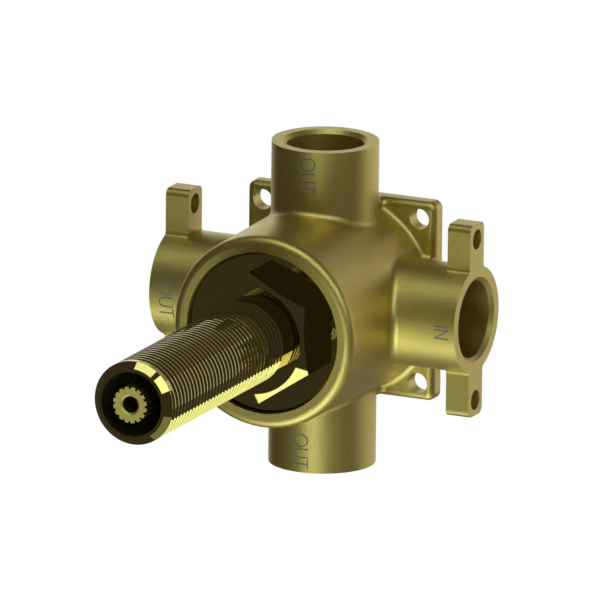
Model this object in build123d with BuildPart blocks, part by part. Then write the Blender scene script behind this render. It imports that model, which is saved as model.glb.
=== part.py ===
from build123d import *
from math import radians, tan
import os

# Concealed diverter valve: one inlet on the right, outlets on top, on the left and below.
# A splined spindle turns a ceramic disc that joins the inlet to one outlet at a time.
# Millimetres. The origin is the middle of the mounting face, on the spindle axis.
# The front is -Y, so a distance below is always measured from the wall, towards the front.

# Ports
port_axis_distance = 13.8
side_port_reach = 41.2
vertical_port_reach = 40.65
port_diameter = 26.5
socket_diameter = 19.25
socket_depth = 15.0
socket_chamfer = 1.0
passage_diameter = 10.0
passage_overrun = 0.6

# Drum of the casting, with a little draft towards its mouth
drum_diameter_at_wall = 49.9
drum_diameter_at_mouth = 48.4
mouth_distance = 49.7
mouth_edge_radius = 2.2
mouth_bore_diameter = 40.6
casting_fillet = 1.8

# Mounting plate
plate_width = 51.0
plate_height = 50.4
plate_thickness = 4.3
plate_corner_radius = 2.0
plate_edge_radius = 1.8
plate_hole_diameter = 5.2
plate_hole_spacing_x = 42.4
plate_hole_spacing_z = 41.7

# Fixing lugs at the ends of the side ports
lug_width = 8.0
lug_thickness = 6.1
lug_height = 24.3
lug_corner_radius = 1.8
lug_foot_radius = 1.2
lug_hole_diameter = 5.0
lug_hole_offset = 20.35

# Cartridge chamber
chamber_floor_distance = 23.0
mouth_seat_width = 2.3
mouth_thread_depth = 0.9
thread_clearance = 0.05
centre_hole_share = 0.26
outlet_hole_share = 0.208
outlet_margin = 1.2

# Cartridge
base_thickness = 4.0
base_peg_diameter = 2.8
base_peg_length = 2.5
base_peg_inset = 4.4
base_peg_angle = 36.0
seal_wall = 1.4
seal_edge_chamfer = 0.4
fixed_disc_thickness = 3.5
notch_width = 3.0
notch_depth = 1.6
turning_disc_thickness = 4.0
turning_disc_step = 0.4
disc_edge_chamfer = 0.3
channel_depth = 2.2
drive_pocket_length = 5.0
drive_pocket_width = 3.0
drive_pocket_depth = 1.4
drive_pocket_radius = 9.0
driver_thickness = 2.6
driver_step = 1.4
driver_neck_diameter = 15.6
stop_tab_half_angle = 10.0
stop_angle_margin = 0.8
slide_ring_thickness = 0.5
housing_wall = 1.3
housing_cover_thickness = 1.6
press_ring_thickness = 1.0
press_ring_bore = 20.4

# Bonnet: threaded skirt, flange, hexagon and long threaded barrel in one turned piece
bonnet_flange_distance = 48.4
bonnet_flange_thickness = 3.0
bonnet_flange_clearance = 0.75
bonnet_flange_edge = 0.5
bonnet_washer_thickness = 1.2
hexagon_front_distance = 56.8
hexagon_across_flats = 29.0
hexagon_turn = 33.8
hexagon_chamfer_diameter = 27.2
hexagon_chamfer_angle = 30.0
barrel_diameter = 20.9
thread_pitch = 1.814
thread_depth = 1.0
thread_crest_width = 0.3
thread_start_distance = 60.0
barrel_tip_distance = 124.7
barrel_tip_chamfer = 1.45
barrel_bore_diameter = 16.1
barrel_bore_depth = 26.0
guide_bore_diameter = 12.2
collar_recess_diameter = 20.0
collar_recess_depth = 7.0

# Spindle
spindle_tip_proud = 0.8
spindle_diameter = 9.2
spindle_journal_length = 14.0
collar_diameter = 18.0
collar_thickness = 3.8
square_width = 7.9
square_length = 6.2
spline_teeth = 16
spline_outer_diameter = 9.1
spline_root_diameter = 8.0
spline_length = 16.0
spline_root_share = 0.25
spline_mouth_share = 0.67
spline_tip_chamfer = 0.5
screw_hole_diameter = 4.2
screw_hole_depth = 14.0
screw_countersink_diameter = 5.2
thrust_washer_thickness = 1.0
thrust_washer_diameter = 19.0
seal_groove_width = 2.4
seal_groove_diameter = 9.0
first_seal_distance = 50.6
second_seal_distance = 55.6
bush_length = 8.0
bush_flange_thickness = 1.3
bush_flange_diameter = 15.2
clip_thickness = 0.7
clip_groove_diameter = 7.8
clip_outer_diameter = 13.0
clip_gap_angle = 60.0

# Fits
slip = 0.05
disc_film = 0.02
loose_fit = 0.1
wide_gap = 0.3

# From the bore of the mouth inwards: flange, seat, thread, chamber, housing and discs
bonnet_flange_diameter = mouth_bore_diameter - 2 * bonnet_flange_clearance
mouth_thread_diameter = mouth_bore_diameter - 2 * mouth_seat_width
chamber_diameter = mouth_thread_diameter - 2 * mouth_thread_depth
chamber_radius = chamber_diameter / 2
housing_radius = chamber_radius - loose_fit
housing_bore_radius = housing_radius - housing_wall
fixed_disc_diameter = 2 * (housing_bore_radius - wide_gap)
turning_disc_diameter = fixed_disc_diameter - 2 * turning_disc_step
driver_diameter = fixed_disc_diameter - 2 * driver_step
base_peg_radius = housing_radius - base_peg_inset
centre_hole_radius = centre_hole_share * fixed_disc_diameter / 2
outlet_hole_radius = outlet_hole_share * fixed_disc_diameter / 2
outlet_pitch_radius = fixed_disc_diameter / 2 - outlet_hole_radius - outlet_margin

# Everything along the spindle axis follows from the chamber floor and the bonnet
mouth_seat_distance = bonnet_flange_distance - bonnet_flange_thickness - bonnet_washer_thickness
flange_back_distance = bonnet_flange_distance - bonnet_flange_thickness
base_top = chamber_floor_distance + base_thickness
fixed_disc_top = base_top + fixed_disc_thickness
turning_disc_bottom = fixed_disc_top + disc_film
turning_disc_top = turning_disc_bottom + turning_disc_thickness
driver_top = turning_disc_top + driver_thickness
slide_ring_top = driver_top + slide_ring_thickness
cover_bottom = slide_ring_top + slip
cover_top = cover_bottom + housing_cover_thickness
skirt_bottom = cover_top + press_ring_thickness
recess_ceiling = skirt_bottom + collar_recess_depth
collar_top = recess_ceiling - loose_fit - thrust_washer_thickness
collar_bottom = collar_top - collar_thickness
journal_top = collar_top + spindle_journal_length
barrel_bore_floor = barrel_tip_distance - barrel_bore_depth
bush_flange_top = barrel_bore_floor + bush_flange_thickness
clip_bottom = bush_flange_top + loose_fit
spindle_tip_distance = barrel_tip_distance + spindle_tip_proud

# Radii used again and again
port_radius = port_diameter / 2
port_half_width_at_plate = (port_radius**2 - (port_axis_distance - plate_thickness) ** 2) ** 0.5
socket_radius = socket_diameter / 2
passage_radius = passage_diameter / 2
outlet_passage_end = outlet_pitch_radius - outlet_hole_radius - passage_overrun
inlet_length = side_port_reach + centre_hole_radius + passage_overrun
side_outlet_length = side_port_reach - outlet_passage_end
upright_outlet_length = vertical_port_reach - outlet_passage_end
guide_bore_radius = guide_bore_diameter / 2
journal_radius = guide_bore_radius - slip
spindle_radius = spindle_diameter / 2

# Outlets as angles about the spindle axis, seen from the front, with 0 at the inlet
outlet_angles = {"top": 90, "left": 180, "bottom": 270}

# A half section: first the distance from the wall, then the radius
half_section = Plane(origin=(0, 0, 0), x_dir=(0, -1, 0), z_dir=(0, 0, 1))


# A plane parallel to the wall, facing the front, with X to the right and Z up
def facing(distance):
    return Plane.XZ.offset(distance)


# Valve body: a casting with its passages, sockets, chamber and fixing holes
with BuildPart() as plate_blank:
    with BuildSketch(facing(0)):
        RectangleRounded(plate_width, plate_height, plate_corner_radius)
    extrude(amount=plate_thickness)
    fillet(plate_blank.faces().sort_by(Axis.Y)[0].edges(), plate_edge_radius)

with BuildPart() as valve_body:
    with BuildSketch(half_section):
        with BuildLine():
            Polyline(
                (0, 0),
                (0, drum_diameter_at_wall / 2),
                (mouth_distance, drum_diameter_at_mouth / 2),
                (mouth_distance, 0),
                close=True,
            )
        make_face()
    revolve(axis=Axis.Y)
    fillet(valve_body.edges().sort_by(Axis.Y)[0], mouth_edge_radius)
    with BuildSketch(Plane.YZ.offset(-side_port_reach)):
        with Locations((-port_axis_distance, 0)):
            Circle(port_radius)
    extrude(amount=2 * side_port_reach)
    with BuildSketch(Plane.XY.offset(-vertical_port_reach)):
        with Locations((0, -port_axis_distance)):
            Circle(port_radius)
    extrude(amount=2 * vertical_port_reach)
    add(plate_blank.part)

    # Casting fillets round the ports and the foot of the drum
    port_seams = valve_body.edges().filter_by(
        lambda edge: edge.geom_type not in (GeomType.LINE, GeomType.CIRCLE)
        and edge.center().Y < -plate_thickness
    )
    plate_face_edges = valve_body.edges().filter_by_position(
        Axis.Y, -plate_thickness - slip, -plate_thickness + slip
    )
    drum_foot = plate_face_edges.filter_by(
        lambda edge: edge.geom_type == GeomType.CIRCLE and edge.radius > plate_width / 4
    )
    port_feet = plate_face_edges.filter_by(
        lambda edge: abs(min(abs(edge.center().X), abs(edge.center().Z)) - port_half_width_at_plate) < slip
    )
    fillet(port_seams + drum_foot + port_feet, casting_fillet)

    # Fixing lugs, flush with the ends of the side ports
    with BuildSketch(Plane.YZ.offset(side_port_reach - lug_thickness)):
        with Locations((-port_axis_distance, 0)):
            RectangleRounded(lug_width, 2 * lug_height, lug_corner_radius)
    extrude(amount=lug_thickness)
    with BuildSketch(Plane.YZ.offset(-side_port_reach)):
        with Locations((-port_axis_distance, 0)):
            RectangleRounded(lug_width, 2 * lug_height, lug_corner_radius)
    extrude(amount=lug_thickness)
    lug_feet = valve_body.edges().filter_by(Axis.X).filter_by(
        lambda edge: abs(edge.length - lug_thickness) < slip
        and abs(edge.center().Z) < port_radius
    )
    fillet(lug_feet, lug_foot_radius)

    # Sockets with a chamfered mouth, and the passages behind them
    with Locations(Plane.YZ.offset(side_port_reach)):
        with Locations((-port_axis_distance, 0)):
            CounterBoreHole(passage_radius, socket_radius, socket_depth, inlet_length)
    with Locations(Plane.ZY.offset(side_port_reach)):
        with Locations((0, -port_axis_distance)):
            CounterBoreHole(passage_radius, socket_radius, socket_depth, side_outlet_length)
    with Locations(Plane.XY.offset(vertical_port_reach)):
        with Locations((0, -port_axis_distance)):
            CounterBoreHole(passage_radius, socket_radius, socket_depth, upright_outlet_length)
    with Locations(Plane.YX.offset(vertical_port_reach)):
        with Locations((-port_axis_distance, 0)):
            CounterBoreHole(passage_radius, socket_radius, socket_depth, upright_outlet_length)
    socket_mouths = valve_body.edges().filter_by(GeomType.CIRCLE).filter_by(
        lambda edge: abs(edge.radius - socket_radius) < slip
        and max(abs(edge.center().X) - side_port_reach, abs(edge.center().Z) - vertical_port_reach) > -slip
    )
    chamfer(socket_mouths, socket_chamfer)

    # Chamber from the mouth to the floor, threaded for the bonnet below its seat
    with BuildSketch(half_section):
        with BuildLine():
            Polyline(
                (chamber_floor_distance, 0),
                (chamber_floor_distance, chamber_radius),
                (skirt_bottom - thread_clearance, chamber_radius),
                (skirt_bottom - thread_clearance, mouth_thread_diameter / 2 + thread_clearance),
                (mouth_seat_distance, mouth_thread_diameter / 2 + thread_clearance),
                (mouth_seat_distance, mouth_bore_diameter / 2),
                (mouth_distance, mouth_bore_diameter / 2),
                (mouth_distance, 0),
                close=True,
            )
        make_face()
    revolve(axis=Axis.Y, mode=Mode.SUBTRACT)

    # Holes from the passages up through the chamber floor
    with BuildSketch(facing(port_axis_distance)):
        Circle(centre_hole_radius)
        with Locations(*[Location((0, 0), angle) for angle in outlet_angles.values()]):
            with Locations((outlet_pitch_radius, 0)):
                Circle(outlet_hole_radius)
    extrude(amount=chamber_floor_distance - port_axis_distance, mode=Mode.SUBTRACT)

    # Blind holes that locate the cartridge
    with BuildSketch(facing(chamber_floor_distance)):
        with PolarLocations(base_peg_radius, 2, -base_peg_angle, 2 * base_peg_angle, endpoint=True):
            Circle(base_peg_diameter / 2 + slip)
    extrude(amount=-(base_peg_length + slip), mode=Mode.SUBTRACT)

    # Screw holes in the plate and the lugs
    with BuildSketch(facing(0)):
        with GridLocations(plate_hole_spacing_x, plate_hole_spacing_z, 2, 2):
            Circle(plate_hole_diameter / 2)
    extrude(amount=plate_thickness, mode=Mode.SUBTRACT)
    with BuildSketch(Plane.YZ.offset(-side_port_reach)):
        with Locations((-port_axis_distance, lug_hole_offset), (-port_axis_distance, -lug_hole_offset)):
            Circle(lug_hole_diameter / 2)
    extrude(amount=lug_thickness, mode=Mode.SUBTRACT)
    with BuildSketch(Plane.YZ.offset(side_port_reach)):
        with Locations((-port_axis_distance, lug_hole_offset), (-port_axis_distance, -lug_hole_offset)):
            Circle(lug_hole_diameter / 2)
    extrude(amount=-lug_thickness, mode=Mode.SUBTRACT)
valve_body.part.label = "valve_body"

# Cartridge base: a moulded carrier for the port seals, with pegs below and keys above
seal_pocket_gap = seal_wall + slip
key_depth = notch_depth - loose_fit
with BuildPart() as cartridge_base:
    with BuildSketch(facing(chamber_floor_distance)):
        Circle(housing_radius)
        Circle(centre_hole_radius + seal_pocket_gap, mode=Mode.SUBTRACT)
        with Locations(*[Location((0, 0), angle) for angle in outlet_angles.values()]):
            with Locations((outlet_pitch_radius, 0)):
                Circle(outlet_hole_radius + seal_pocket_gap, mode=Mode.SUBTRACT)
    extrude(amount=base_thickness)
    with BuildSketch(facing(chamber_floor_distance)):
        with PolarLocations(base_peg_radius, 2, -base_peg_angle, 2 * base_peg_angle, endpoint=True):
            Circle(base_peg_diameter / 2)
    extrude(amount=-base_peg_length)
    with BuildSketch(facing(base_top)):
        with PolarLocations(fixed_disc_diameter / 2 - key_depth / 2, 2, -45, 90, endpoint=True):
            Rectangle(key_depth, notch_width - 2 * loose_fit)
    extrude(amount=fixed_disc_thickness - loose_fit)
cartridge_base.part.label = "cartridge_base"


# A port seal: a rubber sleeve with bevelled ends, as tall as the base that carries it
def port_seal(hole_radius, centre):
    with BuildPart() as seal:
        with BuildSketch(facing(chamber_floor_distance)):
            with Locations(centre):
                Circle(hole_radius + seal_wall)
                Circle(hole_radius, mode=Mode.SUBTRACT)
        extrude(amount=base_thickness)
        chamfer(seal.edges().filter_by(GeomType.CIRCLE), seal_edge_chamfer)
    return seal.part


inlet_seal = port_seal(centre_hole_radius, (0, 0))
inlet_seal.label = "inlet_seal"
top_outlet_seal = port_seal(outlet_hole_radius, (0, outlet_pitch_radius))
top_outlet_seal.label = "top_outlet_seal"
left_outlet_seal = port_seal(outlet_hole_radius, (-outlet_pitch_radius, 0))
left_outlet_seal.label = "left_outlet_seal"
bottom_outlet_seal = port_seal(outlet_hole_radius, (0, -outlet_pitch_radius))
bottom_outlet_seal.label = "bottom_outlet_seal"

# Fixed ceramic disc: one inlet hole, three outlet holes and two notches for the keys
with BuildPart() as fixed_disc:
    with BuildSketch(facing(base_top)):
        Circle(fixed_disc_diameter / 2)
        Circle(centre_hole_radius, mode=Mode.SUBTRACT)
        with Locations(*[Location((0, 0), angle) for angle in outlet_angles.values()]):
            with Locations((outlet_pitch_radius, 0)):
                Circle(outlet_hole_radius, mode=Mode.SUBTRACT)
        with PolarLocations(fixed_disc_diameter / 2 - notch_depth / 2, 2, -45, 90, endpoint=True):
            Rectangle(notch_depth + loose_fit, notch_width, mode=Mode.SUBTRACT)
    extrude(amount=fixed_disc_thickness)
fixed_disc.part.label = "fixed_disc"

# Turning ceramic disc: a blind channel below joins the centre to one outlet, the left one at rest
with BuildPart() as turning_disc:
    with BuildSketch(facing(turning_disc_bottom)):
        Circle(turning_disc_diameter / 2)
    extrude(amount=turning_disc_thickness)
    with BuildSketch(facing(turning_disc_bottom)):
        Circle(centre_hole_radius)
        with Locations((-outlet_pitch_radius, 0)):
            Circle(outlet_hole_radius)
        make_hull()
    extrude(amount=channel_depth, mode=Mode.SUBTRACT)
    with BuildSketch(facing(turning_disc_top)):
        with Locations((0, drive_pocket_radius), (0, -drive_pocket_radius)):
            RectangleRounded(drive_pocket_width, drive_pocket_length, drive_pocket_width / 4)
    extrude(amount=-drive_pocket_depth, mode=Mode.SUBTRACT)
    disc_front_edges = turning_disc.faces().sort_by(Axis.Y)[0].edges().filter_by(GeomType.CIRCLE)
    chamfer(disc_front_edges.sort_by(SortBy.RADIUS)[-1], disc_edge_chamfer)
turning_disc.part.label = "turning_disc"

# Driver: a plate that carries the disc round, with a square socket and a stop tab on its rim
tab_radius = housing_bore_radius - wide_gap
with BuildPart() as disc_driver:
    with BuildSketch(facing(turning_disc_top)):
        Circle(driver_diameter / 2)
    extrude(amount=driver_thickness)
    with BuildSketch(facing(turning_disc_top)):
        with Locations((0, drive_pocket_radius), (0, -drive_pocket_radius)):
            RectangleRounded(
                drive_pocket_width - 2 * loose_fit,
                drive_pocket_length - 2 * loose_fit,
                drive_pocket_width / 4 - loose_fit,
            )
    extrude(amount=-(drive_pocket_depth - loose_fit))
    with BuildSketch(facing(turning_disc_top)):
        with BuildLine():
            tab_arc = CenterArc((0, 0), tab_radius, 180 - stop_tab_half_angle, 2 * stop_tab_half_angle)
            Line((0, 0), tab_arc @ 0)
            Line((0, 0), tab_arc @ 1)
        make_face()
    extrude(amount=driver_thickness)
    with BuildSketch(facing(driver_top)):
        Circle(driver_neck_diameter / 2)
    extrude(amount=collar_bottom - driver_top)
    with BuildSketch(facing(collar_bottom)):
        Rectangle(square_width + 2 * slip, square_width + 2 * slip)
    extrude(amount=-(square_length + loose_fit), mode=Mode.SUBTRACT)
disc_driver.part.label = "disc_driver"

# Slide ring between the driver and the cover of the housing
with BuildPart() as slide_ring:
    with BuildSketch(facing(driver_top)):
        Circle(driver_diameter / 2 - loose_fit)
        Circle(driver_neck_diameter / 2 + slip, mode=Mode.SUBTRACT)
    extrude(amount=slide_ring_thickness)
slide_ring.part.label = "slide_ring"

# Cartridge housing: a cup over the discs, with a rib inside that stops the tab a quarter turn each way
stop_rib_half_angle = 90 - stop_tab_half_angle - stop_angle_margin
rib_outer_radius = housing_bore_radius + slip
rib_inner_radius = driver_diameter / 2 + wide_gap
with BuildPart() as cartridge_housing:
    with BuildSketch(facing(base_top)):
        Circle(housing_radius)
        Circle(housing_bore_radius, mode=Mode.SUBTRACT)
    extrude(amount=cover_top - base_top)
    with BuildSketch(facing(cover_bottom)):
        Circle(rib_outer_radius)
        Circle(driver_neck_diameter / 2 + 2 * loose_fit, mode=Mode.SUBTRACT)
    extrude(amount=housing_cover_thickness)
    with BuildSketch(facing(turning_disc_top + wide_gap)):
        with BuildLine():
            rib_outer = CenterArc((0, 0), rib_outer_radius, -stop_rib_half_angle, 2 * stop_rib_half_angle)
            rib_inner = CenterArc((0, 0), rib_inner_radius, -stop_rib_half_angle, 2 * stop_rib_half_angle)
            Line(rib_outer @ 0, rib_inner @ 0)
            Line(rib_outer @ 1, rib_inner @ 1)
        make_face()
    extrude(amount=cover_bottom - turning_disc_top - wide_gap)
cartridge_housing.part.label = "cartridge_housing"

# Press ring between the housing and the skirt of the bonnet
with BuildPart() as press_ring:
    with BuildSketch(facing(cover_top)):
        Circle(chamber_radius - loose_fit)
        Circle(press_ring_bore / 2, mode=Mode.SUBTRACT)
    extrude(amount=press_ring_thickness)
press_ring.part.label = "press_ring"

# Bonnet washer: the flat seal under the flange
with BuildPart() as bonnet_washer:
    with BuildSketch(facing(mouth_seat_distance)):
        Circle(mouth_bore_diameter / 2 - wide_gap)
        Circle(mouth_thread_diameter / 2 + 2 * thread_clearance, mode=Mode.SUBTRACT)
    extrude(amount=bonnet_washer_thickness)
bonnet_washer.part.label = "bonnet_washer"

# The barrel's thread as rings: a groove for each turn, up to the chamfer of the tip
thread_length = barrel_tip_distance - barrel_tip_chamfer - thread_start_distance
groove_half_width = (thread_pitch - thread_crest_width) / 2
groove_points = []
for turn in range(int(thread_length / thread_pitch)):
    groove_distance = thread_start_distance + turn * thread_pitch
    groove_points += [
        (groove_distance, barrel_diameter / 2),
        (groove_distance + groove_half_width, barrel_diameter / 2 - thread_depth),
        (groove_distance + 2 * groove_half_width, barrel_diameter / 2),
    ]

# Bonnet: turned all over from hexagon bar
hexagon_blank_radius = hexagon_across_flats
hexagon_chamfer_slope = tan(radians(hexagon_chamfer_angle))
chamfer_drop = (hexagon_blank_radius - hexagon_chamfer_diameter / 2) * hexagon_chamfer_slope
with BuildPart() as bonnet:
    with BuildSketch(facing(bonnet_flange_distance)):
        RegularPolygon(hexagon_across_flats / 2, 6, major_radius=False, rotation=hexagon_turn)
    extrude(amount=hexagon_front_distance - bonnet_flange_distance)
    with BuildSketch(half_section):
        with BuildLine():
            Polyline(
                (hexagon_front_distance, hexagon_chamfer_diameter / 2),
                (hexagon_front_distance - chamfer_drop, hexagon_blank_radius),
                (hexagon_front_distance, hexagon_blank_radius),
                close=True,
            )
        make_face()
    revolve(axis=Axis.Y, mode=Mode.SUBTRACT)
    with BuildSketch(half_section):
        with BuildLine():
            Polyline(
                (skirt_bottom, 0),
                (skirt_bottom, mouth_thread_diameter / 2),
                (flange_back_distance, mouth_thread_diameter / 2),
                (flange_back_distance, bonnet_flange_diameter / 2),
                (bonnet_flange_distance, bonnet_flange_diameter / 2),
                (bonnet_flange_distance, barrel_diameter / 2),
                *groove_points,
                (barrel_tip_distance, barrel_diameter / 2),
                (barrel_tip_distance, 0),
                close=True,
            )
        make_face()
    revolve(axis=Axis.Y)
    flange_rim = bonnet.edges().filter_by(GeomType.CIRCLE).filter_by(
        lambda edge: abs(edge.radius - bonnet_flange_diameter / 2) < slip
    ).sort_by(Axis.Y)[0]
    fillet(flange_rim, bonnet_flange_edge)
    chamfer(bonnet.edges().sort_by(Axis.Y)[0], barrel_tip_chamfer)
    with BuildSketch(half_section):
        with BuildLine():
            Polyline(
                (skirt_bottom, 0),
                (skirt_bottom, collar_recess_diameter / 2),
                (recess_ceiling, collar_recess_diameter / 2),
                (recess_ceiling, guide_bore_radius),
                (barrel_bore_floor, guide_bore_radius),
                (barrel_bore_floor, barrel_bore_diameter / 2),
                (barrel_tip_distance, barrel_bore_diameter / 2),
                (barrel_tip_distance, 0),
                close=True,
            )
        make_face()
    revolve(axis=Axis.Y, mode=Mode.SUBTRACT)
bonnet.part.label = "bonnet"

# Tooth space of the spline: wider at its mouth than at its root
tooth_angle = 360 / spline_teeth
root_angle = tooth_angle * spline_root_share
mouth_angle = tooth_angle * spline_mouth_share
with BuildSketch() as tooth_space:
    with BuildLine():
        space_root = CenterArc((0, 0), spline_root_diameter / 2, -root_angle / 2, root_angle)
        space_mouth = CenterArc((0, 0), spline_outer_diameter / 2 + slip, -mouth_angle / 2, mouth_angle)
        Line(space_root @ 0, space_mouth @ 0)
        Line(space_root @ 1, space_mouth @ 1)
    make_face()

# Spindle: square drive, collar, sealed journal, long shank and splined end
with BuildPart() as spindle:
    with BuildSketch(half_section):
        with BuildLine():
            Polyline(
                (collar_bottom, 0),
                (collar_bottom, collar_diameter / 2),
                (collar_top, collar_diameter / 2),
                (collar_top, journal_radius),
                (journal_top, journal_radius),
                (journal_top, spindle_radius),
                (spindle_tip_distance - spline_length, spindle_radius),
                (spindle_tip_distance - spline_length, spline_outer_diameter / 2),
                (spindle_tip_distance - spline_tip_chamfer, spline_outer_diameter / 2),
                (spindle_tip_distance, spline_outer_diameter / 2 - spline_tip_chamfer),
                (spindle_tip_distance, 0),
                close=True,
            )
        make_face()
    revolve(axis=Axis.Y)
    with BuildSketch(facing(collar_bottom)):
        Rectangle(square_width, square_width)
    extrude(amount=-square_length)

    # Grooves for the two seals and the clip
    for groove_middle in (first_seal_distance, second_seal_distance):
        with BuildSketch(facing(groove_middle - seal_groove_width / 2)):
            Circle(journal_radius + slip)
            Circle(seal_groove_diameter / 2, mode=Mode.SUBTRACT)
        extrude(amount=seal_groove_width, mode=Mode.SUBTRACT)
    with BuildSketch(facing(clip_bottom)):
        Circle(spindle_radius + slip)
        Circle(clip_groove_diameter / 2, mode=Mode.SUBTRACT)
    extrude(amount=clip_thickness + loose_fit, mode=Mode.SUBTRACT)

    # Spline: the tooth space, repeated round the end
    with BuildSketch(facing(spindle_tip_distance - spline_length)):
        with PolarLocations(0, spline_teeth):
            add(tooth_space.sketch)
    extrude(amount=spline_length, mode=Mode.SUBTRACT)

    # Threaded hole for the handle screw, left at its minor diameter
    with Locations(Plane.XZ.offset(spindle_tip_distance)):
        CounterSinkHole(screw_hole_diameter / 2, screw_countersink_diameter / 2, screw_hole_depth, 90)
spindle.part.label = "spindle"


# A stem seal: a rubber ring that fills its groove and runs in the guide bore
def stem_seal(middle):
    section_radius = (journal_radius + slip / 2 - seal_groove_diameter / 2) / 2
    with BuildPart() as ring:
        with BuildSketch(half_section):
            with Locations((middle, seal_groove_diameter / 2 + section_radius)):
                Circle(section_radius)
        revolve(axis=Axis.Y)
    return ring.part


lower_stem_seal = stem_seal(first_seal_distance)
lower_stem_seal.label = "lower_stem_seal"
upper_stem_seal = stem_seal(second_seal_distance)
upper_stem_seal.label = "upper_stem_seal"

# Thrust washer between the collar and the bonnet
with BuildPart() as thrust_washer:
    with BuildSketch(facing(collar_top)):
        Circle(thrust_washer_diameter / 2)
        Circle(journal_radius + slip, mode=Mode.SUBTRACT)
    extrude(amount=thrust_washer_thickness)
thrust_washer.part.label = "thrust_washer"

# Guide bush: steadies the long shank where the bore widens
with BuildPart() as guide_bush:
    with BuildSketch(facing(barrel_bore_floor - bush_length)):
        Circle(guide_bore_radius - slip)
        Circle(spindle_radius + slip, mode=Mode.SUBTRACT)
    extrude(amount=bush_length)
    with BuildSketch(facing(barrel_bore_floor)):
        Circle(bush_flange_diameter / 2)
        Circle(spindle_radius + slip, mode=Mode.SUBTRACT)
    extrude(amount=bush_flange_thickness)
guide_bush.part.label = "guide_bush"

# Retaining clip: an open ring in the groove of the spindle, in front of the bush
clip_sweep = 360 - clip_gap_angle
clip_bore_radius = clip_groove_diameter / 2 + slip
with BuildPart() as retaining_clip:
    with BuildSketch(facing(clip_bottom + slip)):
        with BuildLine():
            clip_rim = CenterArc((0, 0), clip_outer_diameter / 2, clip_gap_angle / 2, clip_sweep)
            clip_bore = CenterArc((0, 0), clip_bore_radius, clip_gap_angle / 2, clip_sweep)
            Line(clip_rim @ 0, clip_bore @ 0)
            Line(clip_rim @ 1, clip_bore @ 1)
        make_face()
    extrude(amount=clip_thickness)
retaining_clip.part.label = "retaining_clip"

os.makedirs("parts", exist_ok=True)
finished_parts = [
    valve_body.part,
    inlet_seal,
    top_outlet_seal,
    left_outlet_seal,
    bottom_outlet_seal,
    cartridge_base.part,
    fixed_disc.part,
    cartridge_housing.part,
    press_ring.part,
    bonnet_washer.part,
    bonnet.part,
    guide_bush.part,
    turning_disc.part,
    disc_driver.part,
    slide_ring.part,
    spindle.part,
    lower_stem_seal,
    upper_stem_seal,
    thrust_washer.part,
    retaining_clip.part,
]
for finished_part in finished_parts:
    export_step(finished_part, f"parts/{finished_part.label}.step")
    print(finished_part.label, round(finished_part.volume, 1))
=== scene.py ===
import math
import bpy
import numpy as np
from mathutils import Matrix, Vector


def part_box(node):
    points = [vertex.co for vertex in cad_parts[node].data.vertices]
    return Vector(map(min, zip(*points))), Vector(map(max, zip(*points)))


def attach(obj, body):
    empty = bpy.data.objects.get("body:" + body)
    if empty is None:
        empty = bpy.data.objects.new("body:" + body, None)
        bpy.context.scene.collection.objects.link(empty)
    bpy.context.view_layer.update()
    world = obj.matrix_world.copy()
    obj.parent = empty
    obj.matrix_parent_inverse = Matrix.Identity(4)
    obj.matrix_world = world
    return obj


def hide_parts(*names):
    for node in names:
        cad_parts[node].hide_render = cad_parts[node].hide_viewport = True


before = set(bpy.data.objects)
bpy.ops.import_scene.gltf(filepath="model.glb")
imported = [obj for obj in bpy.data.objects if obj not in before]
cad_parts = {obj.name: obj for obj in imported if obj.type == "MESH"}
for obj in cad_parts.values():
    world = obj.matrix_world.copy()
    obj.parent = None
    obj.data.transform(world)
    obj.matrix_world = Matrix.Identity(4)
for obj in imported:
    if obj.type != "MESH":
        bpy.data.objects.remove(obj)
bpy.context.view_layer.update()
print("frame loaded:", len(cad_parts), "nodes")

mm = 0.001
portY = -13.8  # millimetres: the four port axes cross here, in front of the wall face at y = 0
portAxisY = portY * mm

# View: the angles and the scale were fitted to the edges of the photograph
view = dict(
    azimuth=24.77, elevation=14.84, roll=0.628,  # degrees; azimuth turns the camera towards +X
    pixelsPerMm=4.07, distanceMm=6800.0,         # nearly parallel view
    crossingU=323.68, crossingV=299.99,          # where the port axes cross, in the frame's pixels
    framePixels=600.0, sensorWidth=36.0,         # the frame is square
    clipStart=0.02, clipEnd=100.0,               # metres
)


# Camera axes from azimuth, elevation and roll; the lens gives pixelsPerMm at the crossing
def makeCamera():
    a, e, r = (math.radians(view[k]) for k in ("azimuth", "elevation", "roll"))
    back = Vector((math.sin(a) * math.cos(e), -math.cos(a) * math.cos(e), math.sin(e)))
    right = Vector((math.cos(a), math.sin(a), 0.0))
    up = back.cross(right)
    rolledRight = math.cos(r) * right + math.sin(r) * up
    rolledUp = -math.sin(r) * right + math.cos(r) * up
    sideMm = (view["crossingU"] - view["framePixels"] / 2) / view["pixelsPerMm"]
    dropMm = (view["crossingV"] - view["framePixels"] / 2) / view["pixelsPerMm"]
    place = (back * view["distanceMm"] - rolledRight * sideMm + rolledUp * dropMm) * mm
    place += Vector((0.0, portAxisY, 0.0))
    data = bpy.data.cameras.new("photoCamera")
    data.sensor_fit = "HORIZONTAL"
    data.sensor_width = view["sensorWidth"]
    data.lens = view["pixelsPerMm"] * view["distanceMm"] / view["framePixels"] * view["sensorWidth"]
    data.clip_start = view["clipStart"]
    data.clip_end = view["clipEnd"]
    camera = bpy.data.objects.new("photoCamera", data)
    bpy.context.scene.collection.objects.link(camera)
    camera.matrix_world = Matrix((
        (rolledRight.x, rolledUp.x, back.x, place.x),
        (rolledRight.y, rolledUp.y, back.y, place.y),
        (rolledRight.z, rolledUp.z, back.z, place.z),
        (0.0, 0.0, 0.0, 1.0),
    ))
    bpy.context.scene.camera = camera


makeCamera()
bpy.context.scene.view_settings.view_transform = "Standard"
print("camera set")


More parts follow.
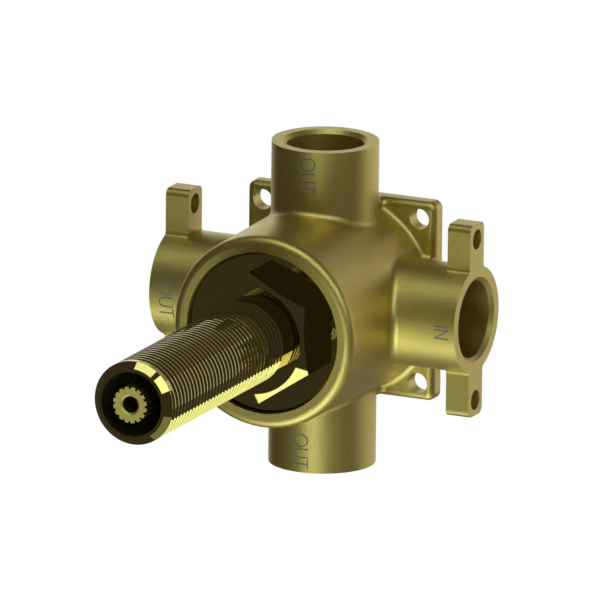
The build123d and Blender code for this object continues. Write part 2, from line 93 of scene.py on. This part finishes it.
# Node helpers: addNode sets a node's own values or its sockets, mathNode also wires its sockets
def addNode(tree, kind, **values):
    node = tree.nodes.new(kind)
    for key, value in values.items():
        if hasattr(node, key):
            setattr(node, key, value)
        else:
            node.inputs[key].default_value = value
    return node


def mathNode(tree, operation, *values, clamp=False):
    node = addNode(tree, "ShaderNodeMath", operation=operation, use_clamp=clamp)
    for socket, value in zip(node.inputs, values):
        if isinstance(value, (int, float)):
            socket.default_value = value
        else:
            tree.links.new(value, socket)
    return node.outputs[0]


# share of a and the rest of b, kept within 0 and 1
def blendNode(tree, a, b, share):
    return mathNode(tree, "ADD", mathNode(tree, "MULTIPLY", a, share),
                    mathNode(tree, "MULTIPLY", b, 1 - share), clamp=True)


# Every finish group takes its own rates (features per metre), two tones and two roughnesses
def newFinishGroup(name, rates):
    tree = bpy.data.node_groups.new(name, "ShaderNodeTree")
    number, color = "NodeSocketFloat", "NodeSocketColor"
    inputs = [(rate, number) for rate in rates]
    inputs += [("Low Tone", color), ("High Tone", color), ("Rough Low", number), ("Rough High", number)]
    for label, kind in inputs:
        tree.interface.new_socket(name=label, in_out="INPUT", socket_type=kind)
    for label, kind in (("Color", color), ("Roughness", number), ("Height", number)):
        tree.interface.new_socket(name=label, in_out="OUTPUT", socket_type=kind)
    return tree, tree.nodes.new("NodeGroupInput"), tree.nodes.new("NodeGroupOutput")


mixColorA, mixColorB, mixColorOut = 6, 7, 2  # the colour sockets of a Mix node


# Ends of a group: one mask blends the tones, another the roughnesses, and the height goes straight out
def wireOutputs(tree, inside, out, toneMask, roughMask, height):
    mix = addNode(tree, "ShaderNodeMix", data_type="RGBA")
    tree.links.new(toneMask, mix.inputs["Factor"])
    tree.links.new(inside.outputs["Low Tone"], mix.inputs[mixColorA])
    tree.links.new(inside.outputs["High Tone"], mix.inputs[mixColorB])
    tree.links.new(mix.outputs[mixColorOut], out.inputs["Color"])
    rough = addNode(tree, "ShaderNodeMapRange")
    tree.links.new(roughMask, rough.inputs["Value"])
    tree.links.new(inside.outputs["Rough Low"], rough.inputs["To Min"])
    tree.links.new(inside.outputs["Rough High"], rough.inputs["To Max"])
    tree.links.new(rough.outputs["Result"], out.inputs["Roughness"])
    tree.links.new(height, out.inputs["Height"])


# Blast grain: fine noise drawn in from its ends, and a slow cloud that drifts between the two tones
def buildBlastGrain(speckShare=0.6, speckGain=0.9, speckOffset=0.05):
    tree, inside, out = newFinishGroup("blastGrain", ("Grain per m", "Cloud per m"))
    place = addNode(tree, "ShaderNodeTexCoord")
    fine = addNode(tree, "ShaderNodeTexNoise", Detail=3.0, Roughness=0.65)
    cloud = addNode(tree, "ShaderNodeTexNoise", Detail=4.0, Roughness=0.5)
    for noise, rate in ((fine, "Grain per m"), (cloud, "Cloud per m")):
        tree.links.new(place.outputs["Object"], noise.inputs["Vector"])
        tree.links.new(inside.outputs[rate], noise.inputs["Scale"])
    speck = mathNode(tree, "MULTIPLY_ADD", fine.outputs["Fac"], speckGain, speckOffset)
    blend = blendNode(tree, speck, cloud.outputs["Fac"], speckShare)
    wireOutputs(tree, inside, out, blend, cloud.outputs["Fac"], fine.outputs["Fac"])
    return tree


# Lathe lines: noise read along the radius and the axis only, so it is the same all the way round
def buildLatheLines(lineShare=0.35):
    tree, inside, out = newFinishGroup("latheLines", ("Lines per m",))
    place = addNode(tree, "ShaderNodeTexCoord")
    split = addNode(tree, "ShaderNodeSeparateXYZ")
    tree.links.new(place.outputs["Object"], split.inputs[0])
    x, y, z = split.outputs
    radius = mathNode(tree, "SQRT", mathNode(
        tree, "ADD", mathNode(tree, "MULTIPLY", x, x), mathNode(tree, "MULTIPLY", z, z)))
    join = addNode(tree, "ShaderNodeCombineXYZ")
    tree.links.new(radius, join.inputs[0])
    tree.links.new(y, join.inputs[1])
    lines = addNode(tree, "ShaderNodeTexNoise", Detail=2.0, Roughness=0.6)
    tree.links.new(join.outputs[0], lines.inputs["Vector"])
    tree.links.new(inside.outputs["Lines per m"], lines.inputs["Scale"])
    cloud = addNode(tree, "ShaderNodeTexNoise", Scale=70.0, Detail=3.0)
    tree.links.new(place.outputs["Object"], cloud.inputs["Vector"])
    blend = blendNode(tree, lines.outputs["Fac"], cloud.outputs["Fac"], lineShare)
    wireOutputs(tree, inside, out, blend, blend, lines.outputs["Fac"])
    return tree


# An sRGB tone, 0 to 255, as the linear colour that a socket takes
def tone(red, green, blue):
    def toLinear(c):
        c = c / 255.0
        return c / 12.92 if c <= 0.04045 else ((c + 0.055) / 1.055) ** 2.4
    return (toLinear(red), toLinear(green), toLinear(blue), 1.0)


# One finish: a group's colour, roughness and height go into the material's own shader
def makeFinish(name, group, rates, low, high, rough, bump, metallic=0.0, specular=0.5):
    material = bpy.data.materials.new(name)
    material.use_nodes = True
    tree = material.node_tree
    shader = tree.nodes["Principled BSDF"]
    shader.inputs["Metallic"].default_value = metallic
    shader.inputs["Specular IOR Level"].default_value = specular
    surface = tree.nodes.new("ShaderNodeGroup")
    surface.node_tree = group
    for socket, value in zip(surface.inputs, (*rates, tone(*low), tone(*high), *rough)):
        socket.default_value = value
    tree.links.new(surface.outputs["Color"], shader.inputs["Base Color"])
    tree.links.new(surface.outputs["Roughness"], shader.inputs["Roughness"])
    relief = addNode(tree, "ShaderNodeBump", Strength=bump[0], Distance=bump[1] * mm)
    tree.links.new(surface.outputs["Height"], relief.inputs["Height"])
    tree.links.new(relief.outputs["Normal"], shader.inputs["Normal"])
    return material


# rates: grain and cloud, or lines, per metre; low and high: sRGB tones; rough: from and to;
# bump: strength, and depth in millimetres
blastGrain, latheLines = buildBlastGrain(), buildLatheLines()
finishTable = dict(
    blastedBrass=dict(
        group=blastGrain, rates=(2600.0, 45.0), low=(182, 164, 94), high=(211, 192, 113),
        rough=(0.40, 0.46), bump=(0.6, 0.1), metallic=1.0),
    polishedBrass=dict(
        group=latheLines, rates=(5200.0,), low=(161, 148, 88), high=(171, 157, 96),
        rough=(0.03, 0.06), bump=(0.04, 0.01), metallic=1.0),
    satinBrass=dict(
        group=blastGrain, rates=(3200.0, 90.0), low=(196, 180, 104), high=(220, 203, 122),
        rough=(0.56, 0.62), bump=(0.2, 0.03), metallic=1.0),
    # bored brass: lathe lines of a turned bore, with a tone darker than the satin brass that paints shade
    # on the bonnet's bore and on the spindle's sides and hole
    boredBrassAndShade=dict(
        group=latheLines, rates=(3800.0,), low=(150, 142, 80), high=(172, 163, 94),
        rough=(0.34, 0.42), bump=(0.1, 0.02), metallic=1.0),
    blackRubber=dict(
        group=blastGrain, rates=(3800.0, 90.0), low=(22, 22, 23), high=(40, 40, 41),
        rough=(0.55, 0.7), bump=(0.3, 0.04)),
    blackFibre=dict(
        group=blastGrain, rates=(1500.0, 150.0), low=(18, 18, 18), high=(48, 46, 44),
        rough=(0.75, 0.9), bump=(0.5, 0.08)),
    greyPlastic=dict(
        group=blastGrain, rates=(2200.0, 60.0), low=(150, 152, 154), high=(168, 170, 172),
        rough=(0.4, 0.5), bump=(0.15, 0.04)),
    whitePlastic=dict(
        group=blastGrain, rates=(2400.0, 60.0), low=(216, 214, 206), high=(232, 230, 222),
        rough=(0.32, 0.42), bump=(0.12, 0.03)),
    lappedCeramic=dict(
        group=blastGrain, rates=(5200.0, 120.0), low=(230, 229, 224), high=(240, 239, 235),
        rough=(0.12, 0.2), bump=(0.05, 0.01)),
    springSteel=dict(
        group=blastGrain, rates=(4200.0, 200.0), low=(150, 150, 148), high=(186, 186, 184),
        rough=(0.28, 0.4), bump=(0.15, 0.02), metallic=1.0),
    greyMark=dict(
        group=blastGrain, rates=(5200.0, 300.0), low=(104, 108, 108), high=(120, 124, 124),
        rough=(0.45, 0.6), bump=(0.2, 0.02), specular=0.3),
)
finishes = {name: makeFinish(name, **look) for name, look in finishTable.items()}

# Which nodes of the frame take which finish
finishedNodes = dict(
    blastedBrass=["valve_body"], satinBrass=["spindle"], polishedBrass=["bonnet"],
    blackRubber=["inlet_seal", "top_outlet_seal", "left_outlet_seal", "bottom_outlet_seal",
                 "lower_stem_seal", "upper_stem_seal", "guide_bush"],
    blackFibre=["bonnet_washer"], springSteel=["retaining_clip"],
    greyPlastic=["cartridge_base", "cartridge_housing", "disc_driver"],
    whitePlastic=["press_ring", "slide_ring", "thrust_washer"],
    lappedCeramic=["fixed_disc", "turning_disc"],
)
for finishName, nodeNames in finishedNodes.items():
    for nodeName in nodeNames:
        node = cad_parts[nodeName]
        node.data.materials.clear()
        node.data.materials.append(finishes[finishName])
print("finishes on", sum(map(len, finishedNodes.values())), "nodes")


# A piece from points and faces. Summed over a face's first four corners, a . (b x c) + a . (c x d) is
# six times the volume that it bounds, near enough for the sign: below zero, every face is turned over.
def meshPiece(name, points, faces, finish):
    corners = np.array([face[:4] for face in faces])
    a, b, c, d = (points[corners[:, k]] for k in range(4))
    if np.einsum("ij,ij->i", a, np.cross(b, c) + np.cross(c, d)).sum() < 0:
        faces = [face[::-1] for face in faces]
    mesh = bpy.data.meshes.new(name)
    mesh.from_pydata(points.tolist(), [], faces)
    mesh.polygons.foreach_set("use_smooth", np.ones(len(faces), dtype=bool))
    mesh.update(calc_edges=True)
    mesh.materials.append(finishes[finish])
    piece = bpy.data.objects.new(name, mesh)
    bpy.context.scene.collection.objects.link(piece)
    return piece


# Four-cornered faces between the neighbours of an index grid
def gridQuads(index):
    corners = (index[:-1, :-1], index[:-1, 1:], index[1:, 1:], index[1:, :-1])
    return np.stack(corners, axis=-1).reshape(-1, 4)


# The same, with the last column joined to the first
def ringQuads(index):
    return gridQuads(np.hstack((index, index[:, :1])))


# A piece from a grid of points (rows, columns, xyz)
def gridPiece(name, points, finish):
    index = np.arange(points.shape[0] * points.shape[1]).reshape(points.shape[:2])
    return meshPiece(name, points.reshape(-1, 3), gridQuads(index).tolist(), finish)


# Stations of (distance from the wall, radius) become rings; either may change with the column
def ringRows(stations, columns):
    rows = [[np.broadcast_to(value, columns) for value in station] for station in stations]
    return np.array(rows, float).transpose(1, 0, 2)


# A turned point is (radius x cos, -distance, radius x sin) about the spindle axis, from millimetres
def turnedPoints(distance, radius, angle):
    d, r = distance * mm, radius * mm
    return np.stack((r * np.cos(angle), -d, r * np.sin(angle)), axis=-1).reshape(-1, 3)


# Puts a second finish on the faces that the mask picks
def addSecondFinish(piece, finish, mask):
    piece.data.materials.append(finishes[finish])
    piece.data.polygons.foreach_set("material_index", mask.astype(int).tolist())


# Bonnet: what a user would change, in millimetres and degrees; distances are measured from the wall
bonnet = dict(
    skirtRadius=18.0, flangeBack=45.4, flangeFront=48.4, flangeRadius=20.1, flangeEdge=0.5,
    hexFlats=29.0, hexTurn=33.8, hexFront=56.8, hexChamferRadius=13.6, hexChamferAngle=30.0,
    neckLength=0.5, threadCrest=10.45, threadDepth=1.05, pitch=1.814, turns=35, threadEndGap=0.02,
    crestShare=0.22, rootShare=0.16,  # of a pitch
    runIn=0.8, runOut=0.12,           # turns over which the groove deepens and ends
    tip=124.7, tipChamfer=1.5, boreRadius=8.05, boreDepth=26.0, guideRadius=6.1,
    recessRadius=10.0, recessDepth=7.0, columnsPerSide=24, sharpAngle=25.0,
)


# The bonnet is one closed skin: rings along its section, with a helical band for the thread.
# The hexagon's radius at an angle is half its flats over the cosine to the nearest flat. A row of the
# thread climbs one pitch a turn, so past the last column it goes on as the row one turn higher.
def makeBonnet():
    b = bonnet
    columns = 6 * b["columnsPerSide"]
    sweep = np.arange(columns) / columns
    angle = math.radians(b["hexTurn"]) + sweep * 2 * math.pi
    toFlat = (sweep * 2 * math.pi) % (math.pi / 3) - math.pi / 6
    hexRadius = b["hexFlats"] / 2 / np.cos(toFlat)
    slope = math.tan(math.radians(b["hexChamferAngle"]))
    chamferStart = b["hexFront"] - (hexRadius - b["hexChamferRadius"]) * slope
    skirtBottom = -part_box("bonnet")[1][1] / mm
    recessEnd, boreEnd = skirtBottom + b["recessDepth"], b["tip"] - b["boreDepth"]
    below = [
        (skirtBottom, b["recessRadius"]), (skirtBottom, b["skirtRadius"]),
        (b["flangeBack"], b["skirtRadius"]), (b["flangeBack"], b["flangeRadius"]),
        (b["flangeFront"] - b["flangeEdge"], b["flangeRadius"]),
        (b["flangeFront"], b["flangeRadius"] - b["flangeEdge"]),
        (b["flangeFront"], hexRadius), (chamferStart, hexRadius),
        (b["hexFront"], b["hexChamferRadius"]), (b["hexFront"], b["threadCrest"]),
        (b["hexFront"] + b["neckLength"], b["threadCrest"]),
    ]
    above = [
        (b["tip"] - b["tipChamfer"], b["threadCrest"]), (b["tip"], b["threadCrest"] - b["tipChamfer"]),
        (b["tip"], b["boreRadius"]), (boreEnd, b["boreRadius"]), (boreEnd, b["guideRadius"]),
        (recessEnd, b["guideRadius"]), (recessEnd, b["recessRadius"]),
    ]

    # Thread rows: crest, crest, root, root and so on
    flankShare = (1 - b["crestShare"] - b["rootShare"]) / 2
    profile = np.cumsum([0.0, b["crestShare"], flankShare, b["rootShare"]])
    rowsPerTurn = len(profile)
    rows = np.arange(rowsPerTurn * b["turns"] + 1)
    turns = (rows // rowsPerTurn)[:, None] + sweep[None, :]
    climb = turns + profile[rows % rowsPerTurn][:, None]
    threadEnd = b["tip"] - b["tipChamfer"] - b["threadEndGap"]
    distance = threadEnd - (b["turns"] + 1 - climb) * b["pitch"]
    inRoot = (rows % rowsPerTurn >= 2)[:, None]
    fade = np.clip(turns / b["runIn"], 0.0, 1.0) * np.clip((b["turns"] - turns) / b["runOut"], 0.0, 1.0)
    radius = b["threadCrest"] - inRoot * b["threadDepth"] * fade

    (belowD, belowR), (aboveD, aboveR) = ringRows(below, columns), ringRows(above, columns)
    points = turnedPoints(np.vstack((belowD, distance, aboveD)), np.vstack((belowR, radius, aboveR)), angle)
    index = np.arange(len(points)).reshape(-1, columns)
    section = np.vstack((index, index[:1]))  # the section is a closed line
    first, last = len(below), len(below) + len(rows) - 1

    # At the seam rings close on themselves, and thread rows close on the row one turn higher
    seams = [
        (section[:first, -1], section[:first, 0]),
        (section[first:last - rowsPerTurn + 1, -1], section[first + rowsPerTurn:last + 1, 0]),
        (section[last + 1:, -1], section[last + 1:, 0]),
    ]
    quads = np.vstack([gridQuads(section)] + [gridQuads(np.stack(pair, axis=1)) for pair in seams])
    startFace = np.hstack((
        index[first - 1, [-1, 0]], index[first:first + rowsPerTurn + 1, 0], index[first, -1]))
    endFace = np.hstack((
        index[last - rowsPerTurn, -1], index[last:last + 2, 0], index[last + 1:last - rowsPerTurn:-1, -1]))
    faces = quads.tolist() + [startFace.tolist(), endFace.tolist()]
    piece = meshPiece("turned_bonnet", points, faces, "polishedBrass")
    # the bore's faces take the bored finish, whose darker tone paints shade inside the bore
    boreMouth = index[last + 3, 0]
    addSecondFinish(piece, "boredBrassAndShade", np.append(quads.min(axis=1) >= boreMouth, (False, False)))
    piece.data.set_sharp_from_angle(angle=math.radians(b["sharpAngle"]))
    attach(piece, "valve")
    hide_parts("bonnet")
    print("bonnet:", len(faces), "faces")


makeBonnet()

# Spindle: stations (distance from the wall, radius) up to the spline, then the spline's own sizes
spindle = dict(
    squareWidth=7.9, squareBack=36.17, stations=(
        (42.37, 9.0), (46.17, 9.0), (46.17, 6.05), (49.4, 6.05), (49.4, 4.5), (51.8, 4.5), (51.8, 6.05),
        (54.4, 6.05), (54.4, 4.5), (56.8, 4.5), (56.8, 6.05), (60.17, 6.05), (60.17, 4.6), (100.1, 4.6),
        (100.1, 3.9), (100.9, 3.9), (100.9, 4.6), (109.5, 4.6),
    ),
    teeth=16, crestRadius=4.55, rootRadius=4.0, tip=125.5, tipChamfer=0.15,
    toothColumns=(-0.5, -0.35, -0.29, -0.1, 0.1, 0.29, 0.35), toothHalf=0.3,  # shares of a tooth's pitch
    holeRadius=2.1, holeDepth=14.0, countersink=0.5, sharpAngle=25.0,
)


# The spindle is turned from its stations; in the spline the radius is the crest's on a tooth and the
# root's between teeth, with the columns set on the teeth's edges; the square's is half its width over
# the cosine to the nearest flat
def makeSpindle():
    s = spindle
    share = np.tile(s["toothColumns"], s["teeth"])
    tooth = np.repeat(np.arange(s["teeth"]), len(s["toothColumns"]))
    angle = 2 * math.pi / s["teeth"] * (tooth + share + 0.5)
    square = s["squareWidth"] / 2 / np.cos((angle + math.pi / 4) % (math.pi / 2) - math.pi / 4)
    onTooth = np.abs(share) < s["toothHalf"]
    spline = np.where(onTooth, s["crestRadius"], s["rootRadius"])
    tipRadius = np.where(onTooth, s["crestRadius"] - s["tipChamfer"], s["rootRadius"])
    tip, hole = s["tip"], s["holeRadius"]
    side = [(s["squareBack"], square), (s["stations"][0][0], square), *s["stations"]]
    side += [(s["stations"][-1][0], spline), (tip - s["tipChamfer"], spline)]
    front = [(tip, tipRadius), (tip, hole + s["countersink"])]
    inside = [(tip - s["countersink"], hole), (tip - s["holeDepth"], hole)]
    distance, radius = ringRows(side + front + inside, len(angle))
    points = turnedPoints(distance, radius, angle)
    index = np.arange(len(points)).reshape(-1, len(angle))
    quads = ringQuads(index)
    faces = quads.tolist() + [index[0, ::-1].tolist(), index[-1].tolist()]
    piece = meshPiece("splined_spindle", points, faces, "satinBrass")
    # the spindle's sides and hole take the bored finish, whose darker tone paints shade on them; the front
    # and its chamfer keep the satin brass
    onSide = quads.max(axis=1) < index[len(side), 0]
    inHole = quads.min(axis=1) >= index[len(side) + len(front), 0]
    addSecondFinish(piece, "boredBrassAndShade", np.append(onSide | inHole, (True, True)))
    piece.data.set_sharp_from_angle(angle=math.radians(s["sharpAngle"]))
    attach(piece, "spindle")
    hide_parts("spindle")
    print("spindle:", len(faces), "faces")


makeSpindle()

# Port marks: thin raised strokes wrapped on the ports, read from above downwards; millimetres
marks = dict(
    capHeight=3.5, letterGap=0.75, strokeWidth=0.34, strokeRise=0.05, strokeSink=0.05,
    portRadius=13.25, steps=40, sharpAngle=40.0,
)


# Strokes in a box of height 1, as functions of t from 0 to 1. This one is a line between two ends.
def straight(x0, y0, x1, y1):
    return lambda t: (x0 + (x1 - x0) * t, y0 + (y1 - y0) * t)


# An ellipse as wide as the letter
def ellipse(width):
    return lambda t: (width / 2 + width / 2 * np.cos(2 * math.pi * t), 0.5 + 0.5 * np.sin(2 * math.pi * t))


# A leg down, half a circle and a leg up; each leg takes legShare of t
def cup(width, legShare=0.35):
    bowl = width / 2

    def stroke(t):
        bend = math.pi * np.clip((t - legShare) / (1 - 2 * legShare), 0.0, 1.0)
        leg = np.clip(1 - t / legShare, 0.0, 1.0) + np.clip((t - 1) / legShare + 1, 0.0, 1.0)
        return bowl - bowl * np.cos(bend), bowl - bowl * np.sin(bend) + (1 - bowl) * leg
    return stroke


# Each letter: its width and its strokes
letterStrokes = dict(
    O=(0.98, [ellipse(0.98)]),
    U=(0.66, [cup(0.66)]),
    T=(0.60, [straight(0.30, 0, 0.30, 1), straight(0, 1, 0.60, 1)]),
    I=(0.05, [straight(0.025, 0, 0.025, 1)]),
    N=(0.62, [straight(0, 0, 0, 1), straight(0, 1, 0.62, 0), straight(0.62, 0, 0.62, 1)]),
)


# Each stroke is a bar: its line, half the stroke's width to both sides, sunk into the port and raised
# above it. place takes (along the reading line, up the letter, height over the skin) to the port.
def makeMark(name, word, place, spread=1.0):
    m = marks
    half, height = m["strokeWidth"] / 2, m["capHeight"]
    low, high = -m["strokeSink"], m["strokeRise"]
    strokes, start = [], 0.0
    for letter in word:
        width, shapes = letterStrokes[letter]
        strokes += [(start, shape) for shape in shapes]
        start += (width * height + m["letterGap"]) * spread
    length = start - m["letterGap"] * spread
    t = np.linspace(0.0, 1.0, m["steps"])
    points, faces = [], []
    for begin, shape in strokes:
        x, y = shape(t)
        line = np.stack((begin + x * height * spread - length / 2, (y - 0.5) * height), axis=-1)
        step = np.gradient(line, axis=0)
        step /= np.linalg.norm(step, axis=1)[:, None]
        if not np.allclose(line[0], line[-1]):  # an open stroke gets square ends
            line[0] -= step[0] * half
            line[-1] += step[-1] * half
        aside = np.stack((-step[:, 1], step[:, 0]), axis=-1) * half
        corners = [(line + way * aside, lift) for way, lift in ((1, low), (1, high), (-1, high), (-1, low))]
        bar = np.stack([place(at[:, 0], at[:, 1], lift) for at, lift in corners], axis=1)
        index = (len(points) * m["steps"] + np.arange(m["steps"]))[:, None] * 4 + np.arange(4)
        points.append(bar.reshape(-1, 3))
        faces.append(np.vstack((ringQuads(index), index[0][::-1], index[-1])))
    piece = meshPiece(name, np.vstack(points) * mm, np.vstack(faces).tolist(), "greyMark")
    piece.data.set_sharp_from_angle(angle=math.radians(m["sharpAngle"]))
    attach(piece, "valve")


# Upright ports: the reading line runs down, letter tops point to +X, on the front of the cylinder
def onUprightPort(middleZ, middleAngle):
    def place(along, up, lift):
        r = marks["portRadius"] + lift
        angle = math.radians(middleAngle) + up / marks["portRadius"]
        return np.stack((r * np.sin(angle), portY - r * np.cos(angle), middleZ - along), axis=-1)
    return place


# Side ports: the reading line wraps down the front of the cylinder, letter tops point to +X
def onSidePort(middleX, middleAngle):
    def place(along, up, lift):
        r = marks["portRadius"] + lift
        angle = math.radians(middleAngle) - along / marks["portRadius"]
        return np.stack((middleX + up, portY - r * np.cos(angle), r * np.sin(angle)), axis=-1)
    return place


makeMark("top_port_mark", "OUT", onUprightPort(34.75, 6.3), spread=0.92)
makeMark("bottom_port_mark", "OUT", onUprightPort(-35.2, 1.5), spread=0.90)
makeMark("left_port_mark", "OUT", onSidePort(-36.7, -5.5))
makeMark("right_port_mark", "IN", onSidePort(37.8, -2.8))
print("port marks made")

# Studio: a white backdrop, a dark tent round the part, and soft boxes inside the tent, in metres.
# Directions are azimuth and elevation seen from the part; azimuth 0 is the front, 90 is +X.
studio = dict(
    floorZ=-2.4, floorSize=60.0, floorPoints=3, floorGrey=0.8, floorRoughness=0.9, backdropGrey=0.05,
    tentRadius=2.3, tentTone=(0.95, 0.86, 0.75), tentColumns=33, tentRows=25,
    boxTone=(0.86, 1.0, 0.90), boxDistance=2.0, aim=(0.0, -0.06, 0.0),
)
# Each patch of the tent: azimuth from and to, elevation from and to, brightness
tentPatches = dict(
    tent_front=(-122.0, 112.0, -90.0, 90.0, 0.085), tent_low=(112.0, 238.0, -90.0, -18.0, 0.22),
    tent_rear=(112.0, 238.0, 20.0, 31.0, 0.55), tent_crown=(112.0, 238.0, 31.0, 90.0, 0.085),
)
# Each box is a strip from one direction to another, breadth degrees wide; glow is its brightness
softBoxes = dict(
    lowFront=dict(start=(28.0, -36.0), end=(-52.0, -63.0), breadth=36.0, glow=3.0),
    overhead=dict(start=(38.3, 55.5), end=(-46.3, 65.0), breadth=24.0, glow=2.6),
    rightTall=dict(start=(47.1, 47.0), end=(60.1, 17.0), breadth=20.0, glow=3.2),
    frontFill=dict(start=(12.0, -16.0), end=(-6.0, -26.0), breadth=20.0, glow=3.6),
    lowRight=dict(start=(84.0, -30.0), end=(84.0, -84.0), breadth=40.0, glow=0.42),
    leftRear=dict(start=(190.0, 16.0), end=(236.0, 22.0), breadth=28.0, glow=0.35),
)


# A direction is (sin a cos e, -cos a cos e, sin e)
def towards(azimuth, elevation):
    a, e = np.radians(azimuth), np.radians(elevation)
    return np.stack((np.sin(a) * np.cos(e), -np.cos(a) * np.cos(e), np.sin(e)), axis=-1)


# White to the camera and in mirrors; other rays meet the shader, so the floor takes the shadow
def whiteToViewer(tree, shader, out):
    light = addNode(tree, "ShaderNodeEmission", Strength=1.0)
    mix = addNode(tree, "ShaderNodeMixShader")
    path = addNode(tree, "ShaderNodeLightPath")
    seen = mathNode(tree, "ADD", path.outputs["Is Camera Ray"], mathNode(
        tree, "ADD", path.outputs["Is Glossy Ray"], path.outputs["Is Transmission Ray"]), clamp=True)
    tree.links.new(seen, mix.inputs[0])
    tree.links.new(shader.outputs[0], mix.inputs[1])
    tree.links.new(light.outputs[0], mix.inputs[2])
    tree.links.new(mix.outputs[0], out.inputs["Surface"])


def makeFloor():
    material = bpy.data.materials.new("paleFloor")
    material.use_nodes = True
    tree = material.node_tree
    shader = tree.nodes["Principled BSDF"]
    shader.inputs["Base Color"].default_value = (*[studio["floorGrey"]] * 3, 1.0)
    shader.inputs["Roughness"].default_value = studio["floorRoughness"]
    whiteToViewer(tree, shader, tree.nodes["Material Output"])
    finishes["paleFloor"] = material
    steps = np.linspace(-studio["floorSize"] / 2, studio["floorSize"] / 2, studio["floorPoints"])
    x, y = np.meshgrid(steps, steps)
    floor = gridPiece("floor", np.stack((x, y, np.full_like(x, studio["floorZ"])), axis=-1), "paleFloor")


def makeWorld():
    world = bpy.data.worlds.new("studio")
    bpy.context.scene.world = world
    world.use_nodes = True
    nodes = world.node_tree.nodes
    nodes["Background"].inputs["Color"].default_value = (*[studio["backdropGrey"]] * 3, 1.0)
    whiteToViewer(world.node_tree, nodes["Background"], nodes["World Output"])


# The tent: patches of a sphere, dark, unseen by the camera, so that polished brass mirrors a dark room
def makeTent():
    for name, (azimuthFrom, azimuthTo, lowest, highest, strength) in tentPatches.items():
        material = bpy.data.materials.new(name)
        material.use_nodes = True
        tree = material.node_tree
        tree.nodes.remove(tree.nodes["Principled BSDF"])
        glow = addNode(tree, "ShaderNodeEmission", Color=(*studio["tentTone"], 1.0), Strength=strength)
        tree.links.new(glow.outputs[0], tree.nodes["Material Output"].inputs["Surface"])
        finishes[name] = material
        azimuth, elevation = np.meshgrid(
            np.linspace(azimuthFrom, azimuthTo, studio["tentColumns"]),
            np.linspace(lowest, highest, studio["tentRows"]))
        tent = gridPiece(name, towards(azimuth, elevation) * studio["tentRadius"], name)
        tent.visible_camera = False
        tent.visible_diffuse = False
        tent.visible_shadow = False


# A box faces the part across its strip; watts are glow times pi times the area
def makeLights():
    aim = Vector(studio["aim"])
    reach = studio["boxDistance"]
    for name, box in softBoxes.items():
        start, end = (Vector(towards(*box[key])) for key in ("start", "end"))
        middle = (start + end).normalized()
        along = (end - start).normalized()
        data = bpy.data.lights.new(name, "AREA")
        data.shape = "RECTANGLE"
        data.color = studio["boxTone"]
        data.size = 2 * reach * math.tan(start.angle(end) / 2)
        data.size_y = 2 * reach * math.tan(math.radians(box["breadth"] / 2))
        data.energy = box["glow"] * math.pi * data.size * data.size_y
        lamp = bpy.data.objects.new(name, data)
        bpy.context.scene.collection.objects.link(lamp)
        turn = Matrix((along, middle.cross(along), middle)).transposed().to_4x4()
        lamp.matrix_world = Matrix.Translation(aim + middle * reach) @ turn
        lamp.visible_camera = False


makeFloor()
makeWorld()
makeTent()
makeLights()
print("studio built")
